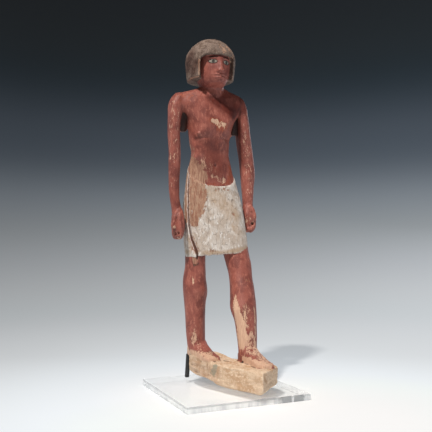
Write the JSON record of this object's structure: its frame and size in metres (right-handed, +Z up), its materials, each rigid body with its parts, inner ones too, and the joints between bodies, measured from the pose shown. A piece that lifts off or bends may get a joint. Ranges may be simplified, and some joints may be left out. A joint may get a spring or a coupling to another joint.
{
  "type": "wooden official statuette",
  "caption": "Painted wooden statuette of a striding official with a short wig and white kilt, on a rough wooden block, held up by a black rod on a clear acrylic plate.",
  "frame": {"origin": "centre of the acrylic plate's underside", "axes": "+Z up, the figure faces -Y and its left side is toward +X"},
  "size_m": [0.16, 0.1693, 0.4683],
  "materials": {
    "painted_wood": "worn matt paint over bare wood",
    "black_metal": "satin black",
    "clear_acrylic": "clear with polished edges"
  },
  "bodies": {
    "root": {"figure": "painted_wood", "support_rod": "black_metal", "stand_plate": "clear_acrylic"}
  },
  "joints": []
}
